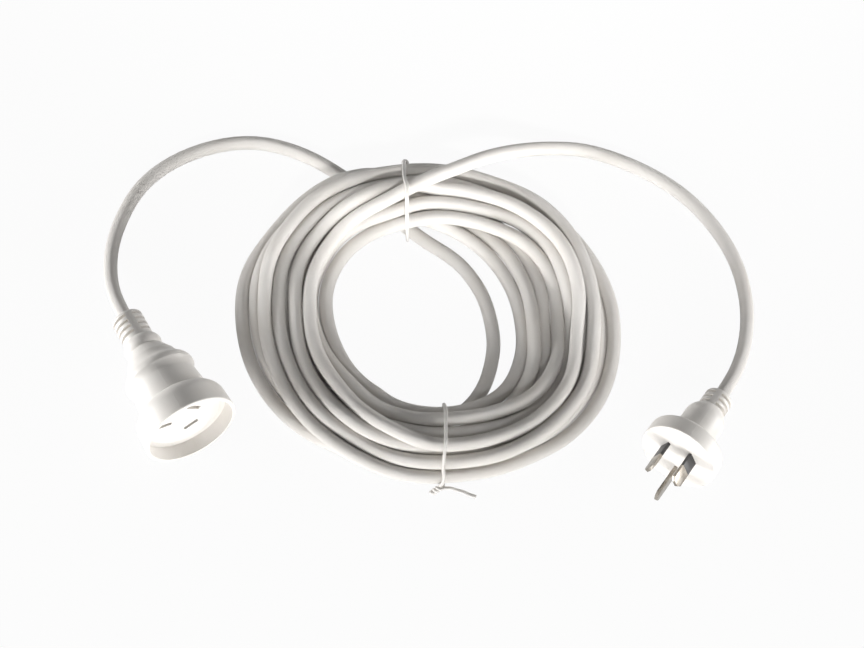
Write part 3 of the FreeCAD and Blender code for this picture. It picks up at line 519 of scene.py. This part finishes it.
# Soft plastic: an uneven tone, faint rub marks and a fine grain
plastic_skin, given, result = shader_group(
    "plastic_skin",
    [("Place", "Vector"), ("Colour", "Color"), ("Tone", "Color"), ("Tone share", "Float"),
     ("Roughness", "Float"), ("Rubbed roughness", "Float")],
    [("Colour", "Color"), ("Roughness", "Float"), ("Grain", "Float")])
patches = fitted(plastic_skin, noise(plastic_skin, given.outputs["Place"], 38.0, 4.0), 0.38, 0.68,
                 0.0, given.outputs["Tone share"])
plastic_skin.links.new(
    blended(plastic_skin, patches, given.outputs["Colour"], given.outputs["Tone"]),
    result.inputs["Colour"])
rubbed = fitted(plastic_skin, noise(plastic_skin, given.outputs["Place"], 170.0, 5.0, 0.65),
                0.5, 0.72, given.outputs["Roughness"], given.outputs["Rubbed roughness"])
plastic_skin.links.new(rubbed, result.inputs["Roughness"])
grain = noise(plastic_skin, given.outputs["Place"], 2600.0, 2.0)
plastic_skin.links.new(grain, result.inputs["Grain"])

# Drawn metal: streaks along the local z way, and a tarnish that gathers in patches
drawn_metal, given, result = shader_group(
    "drawn_metal",
    [("Place", "Vector"), ("Colour", "Color"), ("Tarnish", "Color"), ("Tarnish share", "Float"),
     ("Roughness", "Float"), ("Streak roughness", "Float")],
    [("Colour", "Color"), ("Roughness", "Float"), ("Streaks", "Float")])
streaks = noise(drawn_metal, stretched(drawn_metal, given.outputs["Place"], (3800, 3800, 130)),
                1.0, 3.0)
dull = fitted(drawn_metal, noise(drawn_metal, given.outputs["Place"], 240.0, 4.0), 0.42, 0.66,
              0.0, given.outputs["Tarnish share"])
drawn_metal.links.new(
    blended(drawn_metal, dull, given.outputs["Colour"], given.outputs["Tarnish"]),
    result.inputs["Colour"])
drawn_metal.links.new(
    fitted(drawn_metal, streaks, 0.3, 0.7, given.outputs["Roughness"],
           given.outputs["Streak roughness"]), result.inputs["Roughness"])
drawn_metal.links.new(streaks, result.inputs["Streaks"])

# The thin line that the two halves of a mould leave along a fitting
mould_line, given, result = shader_group(
    "mould_line", [("Place", "Vector"), ("Half width", "Float")], [("Ridge", "Float")])
parts = mould_line.nodes.new("ShaderNodeSeparateXYZ")
mould_line.links.new(given.outputs["Place"], parts.inputs["Vector"])
mould_line.links.new(
    fitted(mould_line, worked(mould_line, "ABSOLUTE", parts.outputs["X"]), 0.0,
           given.outputs["Half width"], 1.0, 0.0), result.inputs["Ridge"])


def new_material(name, colour, roughness, metallic=0.0):
    made = bpy.data.materials.new(name)
    made.use_nodes = True
    made.diffuse_color = (*colour, 1)
    shader = made.node_tree.nodes["Principled BSDF"]
    shader.inputs["Base Color"].default_value = (*colour, 1)
    shader.inputs["Roughness"].default_value = roughness
    shader.inputs["Metallic"].default_value = metallic
    return made, made.node_tree, shader


def place_of(tree, fitting=None):
    """Object coordinates, turned to the fitting's own axes where one is given."""
    where = tree.nodes.new("ShaderNodeTexCoord").outputs["Object"]
    if fitting is None:
        return where
    turn, base = fitting
    mapping = tree.nodes.new("ShaderNodeMapping")
    mapping.inputs["Rotation"].default_value = turn.transposed().to_euler()
    mapping.inputs["Location"].default_value = -(turn.transposed() @ base)
    tree.links.new(where, mapping.inputs["Vector"])
    return mapping.outputs["Vector"]


def placed_group(tree, group, **values):
    node = tree.nodes.new("ShaderNodeGroup")
    node.node_tree = group
    for label, value in values.items():
        socket = node.inputs[label.replace("_", " ")]
        if isinstance(value, (int, float)):
            socket.default_value = value
        elif isinstance(value, tuple):
            socket.default_value = (*value, 1)
        else:
            tree.links.new(value, socket)
    return node


def bumped(tree, shader, height, distance):
    """The height stands out by this distance in millimetres."""
    bump = tree.nodes.new("ShaderNodeBump")
    bump.inputs["Strength"].default_value = 1.0
    bump.inputs["Distance"].default_value = distance * MM
    tree.links.new(height, bump.inputs["Height"])
    tree.links.new(bump.outputs["Normal"], shader.inputs["Normal"])


def coloured_by(skin, tree, shader):
    tree.links.new(skin.outputs["Colour"], shader.inputs["Base Color"])
    tree.links.new(skin.outputs["Roughness"], shader.inputs["Roughness"])


def plastic(name, colour, tone, share, roughness, rubbed, grain, fitting=None, line_height=0.0):
    """Moulded plastic; grain and line_height are the reliefs of its surface in millimetres."""
    made, tree, shader = new_material(name, colour, roughness)
    place = place_of(tree, fitting)
    skin = placed_group(tree, plastic_skin, Place=place, Colour=colour, Tone=tone,
                        Tone_share=share, Roughness=roughness, Rubbed_roughness=rubbed)
    coloured_by(skin, tree, shader)
    height = worked(tree, "MULTIPLY", skin.outputs["Grain"], grain)
    if line_height:
        ridge = placed_group(tree, mould_line, Place=place, Half_width=0.00016)
        height = worked(tree, "ADD", height,
                        worked(tree, "MULTIPLY", ridge.outputs["Ridge"], line_height))
    bumped(tree, shader, height, 1.0)
    return made


def metal(name, colour, tarnish, share, roughness, streaked, relief, fitting):
    made, tree, shader = new_material(name, colour, roughness, 1.0)
    skin = placed_group(tree, drawn_metal, Place=place_of(tree, fitting), Colour=colour,
                        Tarnish=tarnish, Tarnish_share=share, Roughness=roughness,
                        Streak_roughness=streaked)
    coloured_by(skin, tree, shader)
    bumped(tree, shader, skin.outputs["Streaks"], relief)
    return made


def fitting_frame(heading, tilt, base):
    """The turn and place of a fitting: local z runs out of its mating face."""
    turn, lean = math.radians(heading), math.radians(tilt)
    axis = Vector((math.sin(turn) * math.cos(lean), -math.cos(turn) * math.cos(lean),
                   math.sin(lean)))
    side = Vector((-math.cos(turn), -math.sin(turn), 0))
    return Matrix((side, axis.cross(side), axis)).transposed(), Vector(base) * MM


PLUG = fitting_frame(-34.0, 20.2, (117.36, -27.0, 20.23))
SOCKET = fitting_frame(30.0, 12.4, (-104.74, -15.3, 23.85))
WHITE = (0.80, 0.772, 0.735)
AGED = (0.74, 0.70, 0.645)
DIE_LINES = (46.0, 60.0, 1.0)  # how many fit along the cord and round it
RIBS_ALONG, RIBS_ROUND = 3, 200


def cord_sheath():
    """Extruded sheath: faint lines along it from the die, and a very fine ribbing round it."""
    made, tree, shader = new_material("cord_sheath", WHITE, 0.38)
    skin = placed_group(tree, plastic_skin, Place=place_of(tree), Colour=WHITE, Tone=AGED,
                        Tone_share=0.45, Roughness=0.36, Rubbed_roughness=0.5)
    coloured_by(skin, tree, shader)
    surface = tree.nodes.new("ShaderNodeTexCoord").outputs["UV"]
    lines = noise(tree, stretched(tree, surface, DIE_LINES), 1.0, 2.0)
    parts = tree.nodes.new("ShaderNodeSeparateXYZ")
    tree.links.new(surface, parts.inputs["Vector"])
    waves = worked(
        tree, "ADD",
        worked(tree, "MULTIPLY", parts.outputs["X"], 2 * math.pi * RIBS_ALONG),
        worked(tree, "MULTIPLY", parts.outputs["Y"], 2 * math.pi * RIBS_ROUND))
    ribs = worked(tree, "SINE", waves)
    height = worked(tree, "ADD", worked(tree, "MULTIPLY", lines, 0.012),
                    worked(tree, "MULTIPLY", ribs, 0.02))
    height = worked(tree, "ADD", height, worked(tree, "MULTIPLY", skin.outputs["Grain"], 0.006))
    bumped(tree, shader, height, 1.0)
    return made


def striped_core(name, fitting):
    """The earth core: green with yellow stripes along it."""
    green, yellow = (0.05, 0.26, 0.07), (0.78, 0.62, 0.06)
    made, tree, shader = new_material(name, green, 0.42)
    place = place_of(tree, fitting)
    wave = tree.nodes.new("ShaderNodeTexWave")
    wave.bands_direction = "X"
    wave.inputs["Scale"].default_value = 190.0
    tree.links.new(place, wave.inputs["Vector"])
    stripe = fitted(tree, wave.outputs["Fac"], 0.45, 0.55, 0.0, 1.0)
    stripes = blended(tree, stripe, green, yellow)
    skin = placed_group(tree, plastic_skin, Place=place, Colour=stripes,
                        Tone=(0.12, 0.22, 0.05), Tone_share=0.25, Roughness=0.4,
                        Rubbed_roughness=0.55)
    coloured_by(skin, tree, shader)
    bumped(tree, shader, skin.outputs["Grain"], 0.01)
    return made


sheath = cord_sheath()
tie_coat = plastic("tie_coat", (0.68, 0.66, 0.635), (0.56, 0.53, 0.49), 0.5, 0.34, 0.5, 0.01)
face_plastic = plastic("face_plastic", (0.82, 0.80, 0.775), AGED, 0.3, 0.5, 0.6, 0.02, SOCKET)
insert_plastic = plastic("insert_plastic", (0.72, 0.69, 0.63), (0.62, 0.58, 0.5), 0.4, 0.6, 0.7,
                         0.015)
sleeve_plastic = plastic("sleeve_plastic", (0.045, 0.045, 0.047), (0.08, 0.078, 0.075), 0.5, 0.42,
                         0.55, 0.01, PLUG)
brown = plastic("brown_core", (0.19, 0.085, 0.04), (0.13, 0.06, 0.035), 0.4, 0.4, 0.55, 0.01)
blue = plastic("blue_core", (0.03, 0.15, 0.42), (0.03, 0.10, 0.28), 0.4, 0.4, 0.55, 0.01)
finishes = {
    "plug": {
        "body": plastic("plug_moulding", WHITE, AGED, 0.4, 0.42, 0.54, 0.012, PLUG, 0.05),
        "core": striped_core("plug_earth_stripes", PLUG),
        "metal": metal("nickel_blade", (0.34, 0.315, 0.28), (0.20, 0.175, 0.145), 0.6, 0.26, 0.42,
                       0.004, PLUG)},
    "socket": {
        "body": plastic("socket_moulding", WHITE, AGED, 0.4, 0.42, 0.54, 0.012, SOCKET, 0.05),
        "core": striped_core("socket_earth_stripes", SOCKET),
        "metal": metal("brass_contact", (0.72, 0.50, 0.22), (0.42, 0.28, 0.12), 0.45, 0.24, 0.36,
                       0.003, SOCKET)}}


ENDINGS = {"_neutral_core": blue, "_active_core": brown, "_carrier": insert_plastic,
           "_face": face_plastic, "_sleeve": sleeve_plastic}


def finish_for(name):
    end = finishes["socket" if name.startswith("socket") else "plug"]
    if name.endswith("_body"):
        return end["body"]
    if name.endswith("earth_core"):
        return end["core"]
    for ending, finish in ENDINGS.items():
        if name.endswith(ending):
            return finish
    if name.startswith("tie"):
        return tie_coat
    if "cord" in name or "sheath" in name:
        return sheath
    return end["metal"]


cord.data.materials.append(sheath)
tie_top.data.materials.append(tie_coat)
tie_bottom.data.materials.append(tie_coat)
for name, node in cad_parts.items():
    node.data.materials.clear()
    node.data.materials.append(finish_for(name))
for name, piece in rounded.items():
    piece.data.materials.append(finish_for(name))


# Table and light

def seen_directly(tree):
    """One where the camera, a reflection or a view through glass looks straight at the surface."""
    path = tree.nodes.new("ShaderNodeLightPath").outputs
    seen = worked(tree, "MAXIMUM", path["Is Camera Ray"], path["Is Glossy Ray"])
    return worked(tree, "MAXIMUM", seen, path["Is Transmission Ray"])


FLOOR_HALF_WIDTH = 4.0
FLOOR_GLOW = 0.95  # the share of plain white where the floor is seen directly
SKY = 0.165

floor_mesh = bpy.data.meshes.new("floor")
shape = bmesh.new()
bmesh.ops.create_grid(shape, x_segments=1, y_segments=1, size=FLOOR_HALF_WIDTH)
shape.to_mesh(floor_mesh)
shape.free()
floor = bpy.data.objects.new("floor", floor_mesh)
bpy.context.scene.collection.objects.link(floor)
table, tree, shader = new_material("table", (0.72, 0.72, 0.715), 0.8)
glow = tree.nodes.new("ShaderNodeEmission")
mix = tree.nodes.new("ShaderNodeMixShader")
tree.links.new(worked(tree, "MULTIPLY", seen_directly(tree), FLOOR_GLOW), mix.inputs["Fac"])
tree.links.new(shader.outputs["BSDF"], mix.inputs[1])
tree.links.new(glow.outputs["Emission"], mix.inputs[2])
tree.links.new(mix.outputs["Shader"], tree.nodes["Material Output"].inputs["Surface"])
floor.data.materials.append(table)

world = bpy.data.worlds.new("world")
world.use_nodes = True
background = world.node_tree.nodes["Background"]
background.inputs["Color"].default_value = (1, 1, 1, 1)
seen = seen_directly(world.node_tree)
world.node_tree.links.new(
    fitted(world.node_tree, seen, 0.0, 1.0, SKY, 1.0), background.inputs["Strength"])
bpy.context.scene.world = world
bpy.context.scene.view_settings.view_transform = "Standard"


def add_light(name, lamp, place, target, power):
    lamp.energy = power
    made = bpy.data.objects.new(name, lamp)
    made.location = place
    made.rotation_euler = (Vector(target) - Vector(place)).to_track_quat("-Z", "Y").to_euler()
    bpy.context.scene.collection.objects.link(made)


MIDDLE = (0, 0.04, 0.01)
for name, place, width, height, power in (
        ("light_left", (-1.1, -0.1, 0.11), 0.9, 0.17, 14.0),
        ("light_right", (1.1, -0.05, 0.12), 0.9, 0.2, 10.0),
        ("light_front", (0.0, -0.75, 0.17), 0.9, 0.24, 6.6)):
    panel = bpy.data.lights.new(name, "AREA")
    panel.shape = "RECTANGLE"
    panel.size, panel.size_y = width, height
    add_light(name, panel, place, MIDDLE, power)
far_light = bpy.data.lights.new("light_far", "SPOT")
far_light.spot_size = math.radians(26.0)
far_light.spot_blend = 0.3
far_light.shadow_soft_size = 0.1
add_light("light_far", far_light, (0.12, -0.78, 0.92), (0.04, 0.58, 0.0), 94.0)

bpy.context.view_layer.update()
